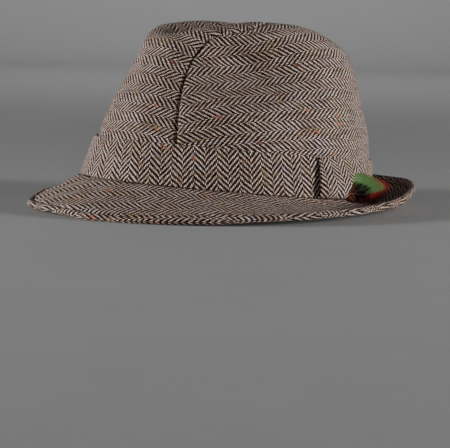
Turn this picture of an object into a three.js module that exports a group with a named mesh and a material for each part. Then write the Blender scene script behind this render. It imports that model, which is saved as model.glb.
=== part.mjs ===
// A herringbone tweed trilby hat, standing on its brim: a three-panel crown with a centre crease,
// a self-fabric band, a two-ply snap brim, and three feathers tucked under a loop on the band.
// Millimetres, +Z up. The front faces -Y and the wearer's left is +X. "Turn" is the angle round the
// head in degrees, 0 at the front, 90 at the wearer's left and 180 at the back.
import * as THREE from "three";

// Head opening and crown
const HEAD_LENGTH = 197;
const HEAD_WIDTH = 163;
const CROWN_CLOTH = 2;
const CROWN_HEIGHT = 110;
const SEAM_GAP = 0.3;

// The straight sides lean in to the eave outline, and round over to the ridge outline. Inside the
// ridge the cloth falls to the crease, a line on the centre plane. Shifts are towards the back.
const EAVE_WIDTH = 111;
const EAVE_LENGTH = 149.5;
const EAVE_SHIFT = 8.75;
const RIDGE_WIDTH = 62;
const RIDGE_LENGTH = 110;
const RIDGE_SHIFT = -1;
const CREASE_LENGTH = 84;
const CREASE_SHIFT = -4;

// Heights round the crown: ridge and crease are shares of CROWN_HEIGHT, and shoulder, where the
// straight side ends, is a share of the ridge's own height. The straight side swells outwards by
// swell, a share of CROWN_HEIGHT, most at SWELL_AT, a share of the way up it.
const CROWN_RISE = [
  { turn: 0, ridge: 0.872, shoulder: 0.9, crease: 0.835, swell: 0.021 },
  { turn: 20, ridge: 0.89, shoulder: 0.88, crease: 0.835, swell: 0.022 },
  { turn: 40, ridge: 0.93, shoulder: 0.84, crease: 0.832, swell: 0.023 },
  { turn: 80, ridge: 0.983, shoulder: 0.73, crease: 0.825, swell: 0.024 },
  { turn: 110, ridge: 0.989, shoulder: 0.68, crease: 0.85, swell: 0.024 },
  { turn: 140, ridge: 0.957, shoulder: 0.62, crease: 0.89, swell: 0.024 },
  { turn: 180, ridge: 0.925, shoulder: 0.58, crease: 0.915, swell: 0.024 },
];

const SWELL_AT = 0.58;

// The pinches on both sides, where fingers lift the hat, and a fainter dent in front of each. Height,
// reach and depth are shares of CROWN_HEIGHT; spread is degrees.
const DENTS = [
  { turn: 61, height: 0.72, spread: 24, reach: 0.166, depth: 0.145 },
  { turn: 35.5, height: 0.61, spread: 14, reach: 0.176, depth: 0.023 },
];

// Rise is 0 at the crown's foot, SHOULDER_RISE where the side starts to round, RIDGE_RISE on the
// ridge and 1 at the crease.
const SHOULDER_RISE = 0.6;
const RIDGE_RISE = 0.8;
const CREASE_SHARPNESS = 0.45;

// The front panel, row by row from its foot to the tip of its tongue in the crease: the turn and
// rise of its middle, and of the seam beside it.
const FRONT_PANEL = [
  { midTurn: 0, midRise: 0.0, seamTurn: 38.5, seamRise: 0.0 },
  { midTurn: 0, midRise: 0.19, seamTurn: 36.0, seamRise: 0.19 },
  { midTurn: 0, midRise: 0.37, seamTurn: 32.5, seamRise: 0.37 },
  { midTurn: 0, midRise: 0.48, seamTurn: 31.0, seamRise: 0.47 },
  { midTurn: 0, midRise: 0.58, seamTurn: 32.2, seamRise: 0.56 },
  { midTurn: 0, midRise: 0.68, seamTurn: 37.5, seamRise: 0.63 },
  { midTurn: 0, midRise: 0.78, seamTurn: 42.7, seamRise: 0.67 },
  { midTurn: 0, midRise: 0.88, seamTurn: 50.0, seamRise: 0.69 },
  { midTurn: 0, midRise: 1.0, seamTurn: 58.0, seamRise: 0.71 },
  { midTurn: 32, midRise: 1.0, seamTurn: 69.0, seamRise: 0.74 },
  { midTurn: 60, midRise: 1.0, seamTurn: 82.0, seamRise: 0.78 },
  { midTurn: 78, midRise: 1.0, seamTurn: 90.0, seamRise: 0.85 },
  { midTurn: 92, midRise: 1.0, seamTurn: 95.0, seamRise: 0.96 },
];

// Band and the loop on it
const BAND_HEIGHT = 26;
const BAND_CLOTH = 1.8;
const LOOP_TURN = 102;
const LOOP_WIDTH = 25;
const LOOP_SLANT = 11.5;
const LOOP_CLOTH = 1.6;
const LOOP_ROOM = 4.6;
const LOOP_SAG = 0.6;

// Brim
const BRIM_WIDTH = 37;
const BRIM_PLY = 1.5;
const EDGE_ROUND = 1.2;
const FLATTENED = 1;

// Width is a share of BRIM_WIDTH. The slopes, in degrees above level, are at the band and at the rim.
const BRIM_ROLL = [
  { turn: 0, width: 1.03, inner: -34, outer: -31 },
  { turn: 30, width: 1.02, inner: -34, outer: -32 },
  { turn: 50, width: 0.99, inner: -30, outer: -22 },
  { turn: 64, width: 0.99, inner: -27, outer: -9 },
  { turn: 79, width: 0.985, inner: -27, outer: 7 },
  { turn: 110, width: 0.95, inner: -27, outer: 37 },
  { turn: 150, width: 0.9, inner: -19, outer: 84 },
  { turn: 180, width: 0.93, inner: -16, outer: 76 },
];

// The brim is snapped lower on the wearer's left and higher on the right, by this many degrees.
const BRIM_SKEW = 2;

// Feathers, all thin blades round a quill
const FEATHER_LENGTH = 70;
const FEATHER_WIDTH = 17;
const QUILL = 1.1;
const VANE = 0.6;

// Length and width are shares of FEATHER_LENGTH and FEATHER_WIDTH, and bare is the share of its own
// length that is quill alone. The quill starts under the loop at height, a share of BAND_HEIGHT. It
// stands off the band by off, plus lift at its tip, both in shares of LOOP_ROOM, and drops at the
// tip by droop, a share of BAND_HEIGHT. Twist, in degrees, turns the blade's upper edge outwards.
const FEATHERS = [
  {
    name: "feather_red",
    colour: 0x7d1a1c,
    start: 0.06,
    length: 1.0,
    width: 0.94,
    bare: 0.19,
    height: 0.26,
    off: 0.02,
    lift: 2.6,
    droop: -0.08,
    twist: -4,
  },
  {
    name: "feather_green",
    colour: 0x4f7a45,
    start: 0.1,
    length: 0.73,
    width: 0.78,
    bare: 0.27,
    height: 0.4,
    off: 0.24,
    lift: 2.1,
    droop: 0.06,
    twist: -4,
  },
  {
    name: "feather_brown",
    colour: 0x4a2a1c,
    start: 0.42,
    length: 0.32,
    width: 0.53,
    bare: 0.15,
    height: 0.15,
    off: 0.44,
    lift: 1.6,
    droop: 0,
    twist: 0,
  },
];

// Facets
const ROUND_STEPS = 56;
const BRIM_RUNS = [0, 0.13, 0.27, 0.45, 0.64, 0.83];
const SEAM_ROWS = 21;
const SIDE_STEPS = 22;
const FRONT_STEPS = 6;
const LOOP_STEPS = 8;
const LOOP_ROWS = 7;
const FEATHER_ROWS = 13;

const EPSILON = 1e-3;

const radians = THREE.MathUtils.degToRad;
const sine = (degrees) => Math.sin(radians(degrees));
const cosine = (degrees) => Math.cos(radians(degrees));
const mix = THREE.MathUtils.lerp;
const vector = (x, y, z) => new THREE.Vector3(x, y, z);

// A smooth curve through one column of a table, read at a value of its key column.
function column(table, key, name, at) {
  const last = table.length - 1;
  let i = 0;
  while (i < last - 1 && at > table[i + 1][key]) i += 1;
  const slope = (j) => {
    if (j <= 0 || j >= last) return 0;
    return (table[j + 1][name] - table[j - 1][name]) / (table[j + 1][key] - table[j - 1][key]);
  };
  const span = table[i + 1][key] - table[i][key];
  const s = THREE.MathUtils.clamp((at - table[i][key]) / span, 0, 1);
  const start = table[i][name];
  const end = table[i + 1][name];
  const s2 = s * s;
  const s3 = s2 * s;
  return (
    (2 * s3 - 3 * s2 + 1) * start +
    (s3 - 2 * s2 + s) * span * slope(i) +
    (3 * s2 - 2 * s3) * end +
    (s3 - s2) * span * slope(i + 1)
  );
}

// The crown's outer surface at a turn and rise.
function crownPoint(turn, rise) {
  const side = Math.abs(turn);
  const ridgeHeight = CROWN_HEIGHT * column(CROWN_RISE, "turn", "ridge", side);
  const shoulder = ridgeHeight * column(CROWN_RISE, "turn", "shoulder", side);
  const outline = (width, length, shift) =>
    vector((width / 2) * sine(turn), shift - (length / 2) * cosine(turn), 0);
  const foot = outline(HEAD_WIDTH + 2 * CROWN_CLOTH, HEAD_LENGTH + 2 * CROWN_CLOTH, 0);
  const eave = outline(EAVE_WIDTH, EAVE_LENGTH, EAVE_SHIFT).setZ(ridgeHeight);
  const ridge = outline(RIDGE_WIDTH, RIDGE_LENGTH, RIDGE_SHIFT).setZ(ridgeHeight);
  const point = foot.clone();
  if (rise <= SHOULDER_RISE) {
    point.lerp(eave, (shoulder / ridgeHeight) * (rise / SHOULDER_RISE));
  } else if (rise <= RIDGE_RISE) {
    const bend = (rise - SHOULDER_RISE) / (RIDGE_RISE - SHOULDER_RISE);
    const start = foot.clone().lerp(eave, shoulder / ridgeHeight);
    point.copy(start.lerp(eave, bend)).lerp(eave.lerp(ridge, bend), bend);
  } else {
    const inward = (rise - RIDGE_RISE) / (1 - RIDGE_RISE);
    const crease = outline(0, CREASE_LENGTH, CREASE_SHIFT);
    crease.z = CROWN_HEIGHT * column(CROWN_RISE, "turn", "crease", side);
    const fall = mix(THREE.MathUtils.smoothstep(inward, 0, 1), inward * inward, CREASE_SHARPNESS);
    point.copy(ridge).lerp(crease, inward).setZ(mix(ridge.z, crease.z, fall));
  }
  const outward = vector(sine(turn) / HEAD_WIDTH, -cosine(turn) / HEAD_LENGTH, 0).normalize();
  const swell = CROWN_HEIGHT * column(CROWN_RISE, "turn", "swell", side);
  const swollen = Math.min(rise / SHOULDER_RISE, 1) ** (Math.log(0.5) / Math.log(SWELL_AT));
  point.addScaledVector(outward, swell * Math.sin(Math.PI * swollen));
  const fade = 1 - THREE.MathUtils.smoothstep(rise, SHOULDER_RISE, RIDGE_RISE);
  for (const dent of DENTS) {
    const across = (side - dent.turn) / dent.spread;
    const up = (point.z / CROWN_HEIGHT - dent.height) / dent.reach;
    const depth = CROWN_HEIGHT * dent.depth * Math.exp(-across * across - up * up);
    point.addScaledVector(outward, -depth * fade);
  }
  return point;
}

// The crown's outward normal. It is taken just short of the crease, where the surface has none.
function crownNormal(turn, rise) {
  const at = THREE.MathUtils.clamp(rise, EPSILON, 1 - 10 * EPSILON);
  const around = crownPoint(turn + 1, at).sub(crownPoint(turn - 1, at));
  const upward = crownPoint(turn, at + EPSILON).sub(crownPoint(turn, at - EPSILON));
  return around.cross(upward).normalize();
}

// The plane that the hat stands on touches the front rim and the back of the brim. All points are
// worked out about the head opening, and settled() then brings that plane to Z = 0.
const plyStack = BRIM_PLY + SEAM_GAP / 2;
const seat = CROWN_CLOTH + SEAM_GAP + BAND_CLOTH;

// A point of the brim: run is the distance over the cloth from the band's foot, negative under the
// band, and off is the distance above the middle of the two plies.
function brimPoint(turn, run, off) {
  const side = Math.abs(turn);
  const width = BRIM_WIDTH * column(BRIM_ROLL, "turn", "width", side);
  const skew = BRIM_SKEW * sine(turn);
  const inner = radians(column(BRIM_ROLL, "turn", "inner", side) - skew);
  const outer = radians(column(BRIM_ROLL, "turn", "outer", side) - skew);
  const over = Math.max(run, 0) * width;
  const slope = mix(inner, outer, Math.max(run, 0));
  const bend = (outer - inner) / width;
  let reach = over * Math.cos(inner);
  let drop = over * Math.sin(inner);
  if (Math.abs(outer - inner) > EPSILON) {
    reach = (Math.sin(slope) - Math.sin(inner)) / bend;
    drop = (Math.cos(inner) - Math.cos(slope)) / bend;
  }
  let lean = slope;
  if (run < 0) lean = 0;
  if (run === 0) lean = inner / 2;
  const outward = vector(sine(turn) / HEAD_WIDTH, -cosine(turn) / HEAD_LENGTH, 0).normalize();
  const edge = vector((HEAD_WIDTH / 2) * sine(turn), (-HEAD_LENGTH / 2) * cosine(turn), 0);
  const out = seat * (1 + Math.min(run, 0)) + reach - off * Math.sin(lean);
  edge.addScaledVector(outward, out);
  edge.z = -SEAM_GAP - plyStack + drop + off * Math.cos(lean);
  return edge;
}

// The slope of the line, in the plane of symmetry, that bears on the front and the back at once.
function standingPlane() {
  const under = [];
  for (let i = 0; i < ROUND_STEPS; i += 1) {
    for (const run of [...BRIM_RUNS, 1]) {
      under.push(brimPoint((360 * i) / ROUND_STEPS - 180, run, -plyStack));
    }
  }
  const lowest = (slope, back) =>
    Math.min(...under.filter((p) => p.y > 0 === back).map((p) => p.z - slope * p.y));
  let low = 0;
  let high = 1;
  for (let i = 0; i < 40; i += 1) {
    const slope = (low + high) / 2;
    if (lowest(slope, false) < lowest(slope, true)) low = slope;
    else high = slope;
  }
  return { slope: low, height: lowest(low, true) };
}

const standing = standingPlane();
const pitch = new THREE.Matrix4()
  .makeRotationX(-Math.atan(standing.slope))
  .multiply(new THREE.Matrix4().makeTranslation(0, 0, -standing.height));

function settled(point) {
  const moved = point.clone().applyMatrix4(pitch);
  moved.z -= FLATTENED;
  return moved;
}

// The brim's cloth is flattened where it rests: both plies rise together until neither is below 0.
function settledBrim(turn, run, off) {
  const under = settled(brimPoint(turn, Math.min(run, 1), -plyStack));
  const moved = settled(brimPoint(turn, run, off));
  moved.z = Math.max(0, moved.z + Math.max(0, -under.z));
  return moved;
}

// A closed solid from its vertices, an array of rows, and faces listed by row and column.
function geometryOf(vertices, faces) {
  const geometry = new THREE.BufferGeometry();
  geometry.setAttribute(
    "position",
    new THREE.Float32BufferAttribute(vertices.flatMap((v) => v.toArray()), 3),
  );
  geometry.setIndex(faces.flat());
  geometry.computeVertexNormals();
  return geometry;
}

// A sheet with thickness: two grids of points, the outer one seen with its columns running to the
// right and its rows upwards.
function sheetGeometry(outer, inner) {
  const rows = outer.length;
  const columns = outer[0].length;
  const vertices = [...outer.flat(), ...inner.flat()];
  const index = (layer, i, j) => (layer * rows + i) * columns + j;
  const faces = [];
  const quad = (a, b, c, d) => faces.push([a, b, c], [a, c, d]);
  for (let i = 0; i < rows - 1; i += 1) {
    for (let j = 0; j < columns - 1; j += 1) {
      quad(index(0, i, j), index(0, i, j + 1), index(0, i + 1, j + 1), index(0, i + 1, j));
      quad(index(1, i, j), index(1, i + 1, j), index(1, i + 1, j + 1), index(1, i, j + 1));
    }
  }
  for (let i = 0; i < rows - 1; i += 1) {
    const right = columns - 1;
    quad(index(0, i, right), index(1, i, right), index(1, i + 1, right), index(0, i + 1, right));
    quad(index(1, i, 0), index(0, i, 0), index(0, i + 1, 0), index(1, i + 1, 0));
  }
  for (let j = 0; j < columns - 1; j += 1) {
    const top = rows - 1;
    quad(index(1, 0, j), index(1, 0, j + 1), index(0, 0, j + 1), index(0, 0, j));
    quad(index(0, top, j), index(0, top, j + 1), index(1, top, j + 1), index(1, top, j));
  }
  return geometryOf(vertices, faces);
}

// A ring whose closed section, a list of points in order, is worked out at each turn. The section
// runs anticlockwise as seen with the outside of the ring at the right, or else clockwise.
function ringGeometry(sectionAt, clockwise = false) {
  const sections = [];
  for (let i = 0; i < ROUND_STEPS; i += 1) sections.push(sectionAt((360 * i) / ROUND_STEPS - 180));
  const count = sections[0].length;
  const faces = [];
  for (let i = 0; i < ROUND_STEPS; i += 1) {
    const next = (i + 1) % ROUND_STEPS;
    for (let k = 0; k < count; k += 1) {
      const after = (k + 1) % count;
      const a = i * count + k;
      const b = i * count + after;
      const c = next * count + after;
      const d = next * count + k;
      if (clockwise) faces.push([a, b, c], [a, c, d]);
      else faces.push([a, c, b], [a, d, c]);
    }
  }
  return geometryOf(sections.flat(), faces);
}

// The front panel's rows, read at a share of its table's length.
function panelRow(share) {
  const at = share * (FRONT_PANEL.length - 1);
  const rows = FRONT_PANEL.map((row, i) => ({ ...row, i }));
  const read = (name) => column(rows, "i", name, at);
  return {
    mid: [read("midTurn"), Math.min(1, read("midRise"))],
    seam: [read("seamTurn"), read("seamRise")],
  };
}

// A step of half the gap across the seam, towards the side panel, at a share of the seam's length.
function seamStep(share) {
  const [turn, rise] = panelRow(share).seam;
  const before = panelRow(Math.max(0, share - EPSILON)).seam;
  const after = panelRow(Math.min(1, share + EPSILON)).seam;
  const along = crownPoint(...after).sub(crownPoint(...before)).normalize();
  return along.cross(crownNormal(turn, rise)).setLength(SEAM_GAP / 2);
}

// The point under the outer surface by the cloth's thickness. The crown's foot is cut level. In the
// crease the two sides meet, and the point lies on the centre plane.
function underCloth(point, turn, rise) {
  const normal = crownNormal(turn, rise);
  if (rise === 0) normal.setZ(0).normalize();
  let depth = CROWN_CLOTH;
  if (Math.abs(point.x) < EPSILON) {
    const level = normal.clone().setX(0).normalize();
    depth /= Math.max(level.dot(normal), 0.6);
    normal.copy(level);
  }
  return point.clone().addScaledVector(normal, -depth);
}

function crownFront() {
  const outer = [];
  const inner = [];
  for (let i = 0; i <= SEAM_ROWS; i += 1) {
    const share = i / SEAM_ROWS;
    const { mid, seam } = panelRow(share);
    const outerRow = [];
    const innerRow = [];
    for (let j = -FRONT_STEPS; j <= FRONT_STEPS; j += 1) {
      const across = Math.abs(j) / FRONT_STEPS;
      const side = Math.sign(j) || 1;
      const turn = side * mix(mid[0], seam[0], across);
      const rise = mix(mid[1], seam[1], across);
      const top = crownPoint(turn, rise);
      if (j === 0) top.x = 0;
      const under = underCloth(top, turn, rise);
      if (across === 1) {
        const step = seamStep(share).multiply(vector(side, 1, 1));
        top.sub(step);
        under.sub(step);
      }
      outerRow.push(settled(top));
      innerRow.push(settled(under));
    }
    outer.push(outerRow);
    inner.push(innerRow);
  }
  return sheetGeometry(outer, inner);
}

// A side panel, from the front seam to the centre plane in the crease and down the back. Side is 1
// for the wearer's left and -1 for the right.
function crownSide(side) {
  const outer = [];
  const inner = [];
  for (let i = 0; i <= SEAM_ROWS; i += 1) {
    const share = i / SEAM_ROWS;
    const { seam } = panelRow(share);
    const tip = i === SEAM_ROWS;
    const front = tip ? [seam[0] + 3.5, 1] : seam;
    const back = [180, share < 0.5 ? 1.2 * share : mix(0.6, 1, 2 * share - 1)];
    const outerRow = [];
    const innerRow = [];
    for (let j = 0; j <= SIDE_STEPS; j += 1) {
      const across = j / SIDE_STEPS;
      const turn = mix(front[0], back[0], across);
      const rise = mix(front[1], back[1], across);
      const top = crownPoint(turn, rise);
      const under = underCloth(top, turn, rise);
      if (j === 0 && !tip) {
        const step = seamStep(share);
        top.add(step);
        under.add(step);
      }
      if (j === SIDE_STEPS || tip) {
        top.x = SEAM_GAP / 2;
        under.x = SEAM_GAP / 2;
      }
      top.x *= side;
      under.x *= side;
      outerRow.push(settled(top));
      innerRow.push(settled(under));
    }
    if (side < 0) {
      outerRow.reverse();
      innerRow.reverse();
    }
    outer.push(outerRow);
    inner.push(innerRow);
  }
  return sheetGeometry(outer, inner);
}

// A point off the crown's straight side, at a height above the head opening.
function wallPoint(turn, height, off) {
  const side = Math.abs(turn);
  const ridge = CROWN_HEIGHT * column(CROWN_RISE, "turn", "ridge", side);
  const shoulder = ridge * column(CROWN_RISE, "turn", "shoulder", side);
  const rise = (SHOULDER_RISE * height) / shoulder;
  const point = crownPoint(turn, Math.max(rise, 0));
  point.addScaledVector(crownNormal(turn, Math.max(rise, 0)).setZ(0).normalize(), off);
  return point;
}

function hatBand() {
  return ringGeometry((turn) => {
    const near = SEAM_GAP;
    const far = SEAM_GAP + BAND_CLOTH;
    const section = [
      [0, near],
      [0, far],
      [BAND_HEIGHT / 2, far],
      [BAND_HEIGHT, far],
      [BAND_HEIGHT, near],
      [BAND_HEIGHT / 2, near],
    ];
    return section.map(([height, off]) => settled(wallPoint(turn, height, off)));
  });
}

// The loop: a flat keeper, sewn to the band along its top and its foot, that bows off the band
// between them so that the quills pass behind it. Its back edge slants.
function bandLoop() {
  const girth = wallPoint(LOOP_TURN + 1, 0, seat).distanceTo(wallPoint(LOOP_TURN - 1, 0, seat)) / 2;
  const half = LOOP_WIDTH / 2 / girth;
  const bandFace = 2 * SEAM_GAP + BAND_CLOTH;
  const outer = [];
  const inner = [];
  for (let i = 0; i <= LOOP_ROWS; i += 1) {
    const up = i / LOOP_ROWS;
    const height = mix(SEAM_GAP, BAND_HEIGHT - SEAM_GAP, up);
    const bow = LOOP_ROOM * Math.sin(Math.PI * up ** LOOP_SAG);
    const outerRow = [];
    const innerRow = [];
    for (let j = 0; j <= LOOP_STEPS; j += 1) {
      const across = j / LOOP_STEPS;
      const turn = LOOP_TURN - half + across * (2 * half + LOOP_SLANT * up * up);
      outerRow.push(settled(wallPoint(turn, height, bandFace + bow + LOOP_CLOTH)));
      innerRow.push(settled(wallPoint(turn, height, bandFace + bow)));
    }
    outer.push(outerRow);
    inner.push(innerRow);
  }
  return sheetGeometry(outer, inner);
}

// One ply of the brim. Face is 1 for the upper ply and -1 for the lower. The two meet at the rim's
// seam, where each is rounded over.
function brimPly(face) {
  return ringGeometry((turn) => {
    const near = (face * SEAM_GAP) / 2;
    const far = face * plyStack;
    const width = BRIM_WIDTH * column(BRIM_ROLL, "turn", "width", Math.abs(turn));
    const past = EDGE_ROUND / width;
    const section = [[-1, far]];
    for (const run of BRIM_RUNS) section.push([run, far]);
    section.push([1 - past, far]);
    section.push([1, far]);
    section.push([1 + past / 2, mix(near, far, 0.6)]);
    section.push([1 + past / 2, near]);
    for (const run of BRIM_RUNS.toReversed()) section.push([run, near]);
    section.push([-1, near]);
    return section.map(([run, off]) => settledBrim(turn, run, off));
  }, face > 0);
}

// A feather: a quill that starts under the loop and a blade on both sides of it, thickest along the
// middle, with a rounded tip.
function feather(row) {
  const length = FEATHER_LENGTH * row.length;
  const girth = wallPoint(LOOP_TURN + 1, 0, seat).distanceTo(wallPoint(LOOP_TURN - 1, 0, seat)) / 2;
  const startTurn = LOOP_TURN + (row.start * LOOP_WIDTH) / girth;
  const start = wallPoint(startTurn, BAND_HEIGHT * row.height, 0);
  const far = wallPoint(startTurn + length / girth, BAND_HEIGHT * row.height, 0);
  const band = SEAM_GAP + BAND_CLOTH + QUILL;
  const outer = [];
  const inner = [];
  for (let i = 0; i <= FEATHER_ROWS; i += 1) {
    const along = i / FEATHER_ROWS;
    const turn = startTurn + (along * length) / girth;
    const height = BAND_HEIGHT * (row.height - row.droop * along * along);
    const off = band + LOOP_ROOM * (row.off + row.lift * along * along);
    const centre = wallPoint(turn, height, off);
    const outward = wallPoint(turn, height, off + 1).sub(centre);
    const ahead = far.clone().sub(start).normalize();
    ahead.addScaledVector(outward, -ahead.dot(outward)).normalize();
    const blade = THREE.MathUtils.clamp((along - row.bare) / (1 - row.bare), 0, 1);
    const leaf = Math.pow(Math.sin(Math.PI * Math.pow(blade, 0.7)), 0.6);
    const half = Math.max(QUILL / 2, (FEATHER_WIDTH * row.width * leaf) / 2);
    const upward = outward.clone().cross(ahead).applyAxisAngle(ahead, radians(row.twist));
    const face = upward.clone().cross(ahead);
    const place = (across, thick) =>
      centre.clone().addScaledVector(upward, across * half).addScaledVector(face, thick);
    const shares = [-1, -0.1, 0, 0.1, 1];
    const thickness = [VANE, VANE, QUILL, VANE, VANE];
    outer.push(shares.map((share, k) => settled(place(share, thickness[k] / 2))));
    inner.push(shares.map((share, k) => settled(place(share, -thickness[k] / 2))));
  }
  return sheetGeometry(outer, inner);
}

function mesh(name, geometry, colour, roughness) {
  const material = new THREE.MeshStandardMaterial({ color: colour, roughness, metalness: 0 });
  const made = new THREE.Mesh(geometry, material);
  made.name = name;
  return made;
}

const TWEED = 0x6e6058;
const TWEED_ROUGHNESS = 0.95;
const FEATHER_ROUGHNESS = 0.6;

const hat = new THREE.Group();
hat.add(
  mesh("crown_front", crownFront(), TWEED, TWEED_ROUGHNESS),
  mesh("crown_left", crownSide(1), TWEED, TWEED_ROUGHNESS),
  mesh("crown_right", crownSide(-1), TWEED, TWEED_ROUGHNESS),
  mesh("hat_band", hatBand(), TWEED, TWEED_ROUGHNESS),
  mesh("band_loop", bandLoop(), TWEED, TWEED_ROUGHNESS),
  mesh("brim_top", brimPly(1), TWEED, TWEED_ROUGHNESS),
  mesh("brim_under", brimPly(-1), TWEED, TWEED_ROUGHNESS),
);
for (const row of FEATHERS) hat.add(mesh(row.name, feather(row), row.colour, FEATHER_ROUGHNESS));

// The origin is under the middle of the hat, on the surface that it stands on.
const box = new THREE.Box3().setFromObject(hat);
const trilby = new THREE.Group();
hat.position.set(-(box.min.x + box.max.x) / 2, -(box.min.y + box.max.y) / 2, -box.min.z);
trilby.add(hat);

export default trilby;
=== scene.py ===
"""A herringbone tweed trilby hat: cloth pieces, feathers, floor, light and camera round its CAD part.

Sizes are millimetres, worked out about the head opening as in the part's source, and turned to metres
where a mesh is made. "Turn" is the angle round the head in degrees, 0 at the front, 90 at the wearer's
left and 180 at the back.
"""

import bpy
import numpy as np
from mathutils import Matrix, Vector


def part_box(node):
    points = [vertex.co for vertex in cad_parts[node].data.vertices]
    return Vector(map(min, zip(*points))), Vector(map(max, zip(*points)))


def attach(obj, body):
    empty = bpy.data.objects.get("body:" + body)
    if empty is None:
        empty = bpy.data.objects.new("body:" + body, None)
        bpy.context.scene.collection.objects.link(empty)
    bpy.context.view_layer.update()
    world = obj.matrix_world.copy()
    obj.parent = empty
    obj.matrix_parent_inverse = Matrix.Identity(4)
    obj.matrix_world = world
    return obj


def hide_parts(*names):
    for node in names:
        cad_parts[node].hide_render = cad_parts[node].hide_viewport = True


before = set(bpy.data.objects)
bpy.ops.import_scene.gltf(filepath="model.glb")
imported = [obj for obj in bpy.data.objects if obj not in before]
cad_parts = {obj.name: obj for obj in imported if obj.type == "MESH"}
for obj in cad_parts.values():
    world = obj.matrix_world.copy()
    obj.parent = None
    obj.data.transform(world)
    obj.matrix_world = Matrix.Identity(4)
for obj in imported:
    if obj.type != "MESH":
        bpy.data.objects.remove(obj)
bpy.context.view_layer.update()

MM = 0.001
EPSILON = 1e-3
DETAIL = 1.0

# Head opening, and the crown: its cloth, its height, and the ovals of its eave, ridge and crease as width,
# length and shift. Its form round the head is in shares of its height.
HEAD_LENGTH = 197
HEAD_WIDTH = 163
CROWN_CLOTH = 2
CROWN_HEIGHT = 110
SEAM_GAP = 0.3
EAVE = (111, 149.5, 8.75)
RIDGE = (62, 110, -1)
CREASE = (0, 84, -4)
SWELL_AT = 0.58
SHOULDER_RISE = 0.6
RIDGE_RISE = 0.8
CREASE_SHARPNESS = 0.45
CROWN_RISE = {
    "turn": (0, 20, 40, 80, 110, 140, 180),
    "ridge": (0.872, 0.89, 0.93, 0.983, 0.989, 0.957, 0.925),
    "shoulder": (0.9, 0.88, 0.84, 0.73, 0.68, 0.62, 0.58),
    "crease": (0.835, 0.835, 0.832, 0.825, 0.85, 0.89, 0.915),
    "swell": (0.021, 0.022, 0.023, 0.024, 0.024, 0.024, 0.024),
}
DENTS = (
    {"turn": 61, "height": 0.72, "spread": 24, "reach": 0.166, "depth": 0.145},
    {"turn": 35.5, "height": 0.61, "spread": 14, "reach": 0.176, "depth": 0.023},
)

# The front panel, row by row from its foot to the tip of its tongue in the crease
FRONT_PANEL = {
    "row": tuple(range(13)),
    "mid_turn": (0, 0, 0, 0, 0, 0, 0, 0, 0, 32, 60, 78, 92),
    "mid_rise": (0, 0.19, 0.37, 0.48, 0.58, 0.68, 0.78, 0.88, 1, 1, 1, 1, 1),
    "seam_turn": (38.5, 36, 32.5, 31, 32.2, 37.5, 42.7, 50, 58, 69, 82, 90, 95),
    "seam_rise": (0, 0.19, 0.37, 0.47, 0.56, 0.63, 0.67, 0.69, 0.71, 0.74, 0.78, 0.85, 0.96),
}

# Band, the rise of the crown that it faces, and the loop on it, which hugs the band along its front edge
BAND_HEIGHT = 26
BAND_CLOTH = 1.8
BAND_RISE = 0.1
LOOP_TURN = 102
LOOP_WIDTH = 25
LOOP_SLANT = 11.5
LOOP_CLOTH = 1.6
LOOP_ROOM = 4.6
LOOP_SAG = 0.6
LOOP_HUG = 0.5

# Brim
BRIM_WIDTH = 37
BRIM_PLY = 1.5
BRIM_SKEW = 2
EDGE_ROUND = 1.2
FLATTENED = 1
BRIM_ROLL = {
    "turn": (0, 30, 50, 64, 79, 110, 150, 180),
    "width": (1.03, 1.02, 0.99, 0.99, 0.985, 0.95, 0.9, 0.93),
    "inner": (-34, -34, -30, -27, -27, -27, -19, -16),
    "outer": (-31, -32, -22, -9, 7, 37, 84, 76),
}
PLY_STACK = BRIM_PLY + SEAM_GAP / 2
SEAT = CROWN_CLOTH + SEAM_GAP + BAND_CLOTH

# Feathers: length and width in shares of FEATHER_LENGTH and FEATHER_WIDTH, and upper and lower of the
# half width on each side of the quill. Blunt is low where the blade ends broad, fluff is how far the
# barbs stray, crowd is how many there are to a pitch, and thick is their half width in pitches. The rest
# is as in the part.
FEATHER_LENGTH = 70
FEATHER_WIDTH = 17
QUILL = 1.1
QUILL_TIP = 0.14
FEATHERS = {
    "feather_red": {"start": 0.06, "length": 1.0, "width": 0.94, "bare": 0.19, "height": 0.26,
                    "off": 0.02, "lift": 2.6, "droop": -0.08, "twist": -4, "upper": 1.0, "lower": 1.35,
                    "blunt": 0.6, "fluff": 0, "crowd": 1, "thick": 1.1},
    "feather_green": {"start": 0.1, "length": 0.73, "width": 0.78, "bare": 0.27, "height": 0.4,
                      "off": 0.24, "lift": 2.1, "droop": 0.06, "twist": -4, "upper": 1.15, "lower": 0.85,
                      "blunt": 0.6, "fluff": 0, "crowd": 1, "thick": 1.1},
    "feather_brown": {"start": 0.42, "length": 0.32, "width": 0.53, "bare": 0.15, "height": 0.15,
                      "off": 0.44, "lift": 1.6, "droop": 0, "twist": 0, "upper": 1.7, "lower": 1.3,
                      "blunt": 0.3, "fluff": 0.7, "crowd": 2, "thick": 0.8},
}

# Colours of each feather near and far along its quill, and at its edge
FEATHER_COLOURS = {
    "feather_red": ((0.2, 0.004, 0.008), (0.3, 0.007, 0.014), (0.12, 0.004, 0.007)),
    "feather_green": ((0.15, 0.27, 0.11), (0.085, 0.18, 0.055), (0.05, 0.11, 0.03)),
    "feather_brown": ((0.17, 0.05, 0.02), (0.006, 0.005, 0.005), (0.03, 0.012, 0.008)),
}

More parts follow.
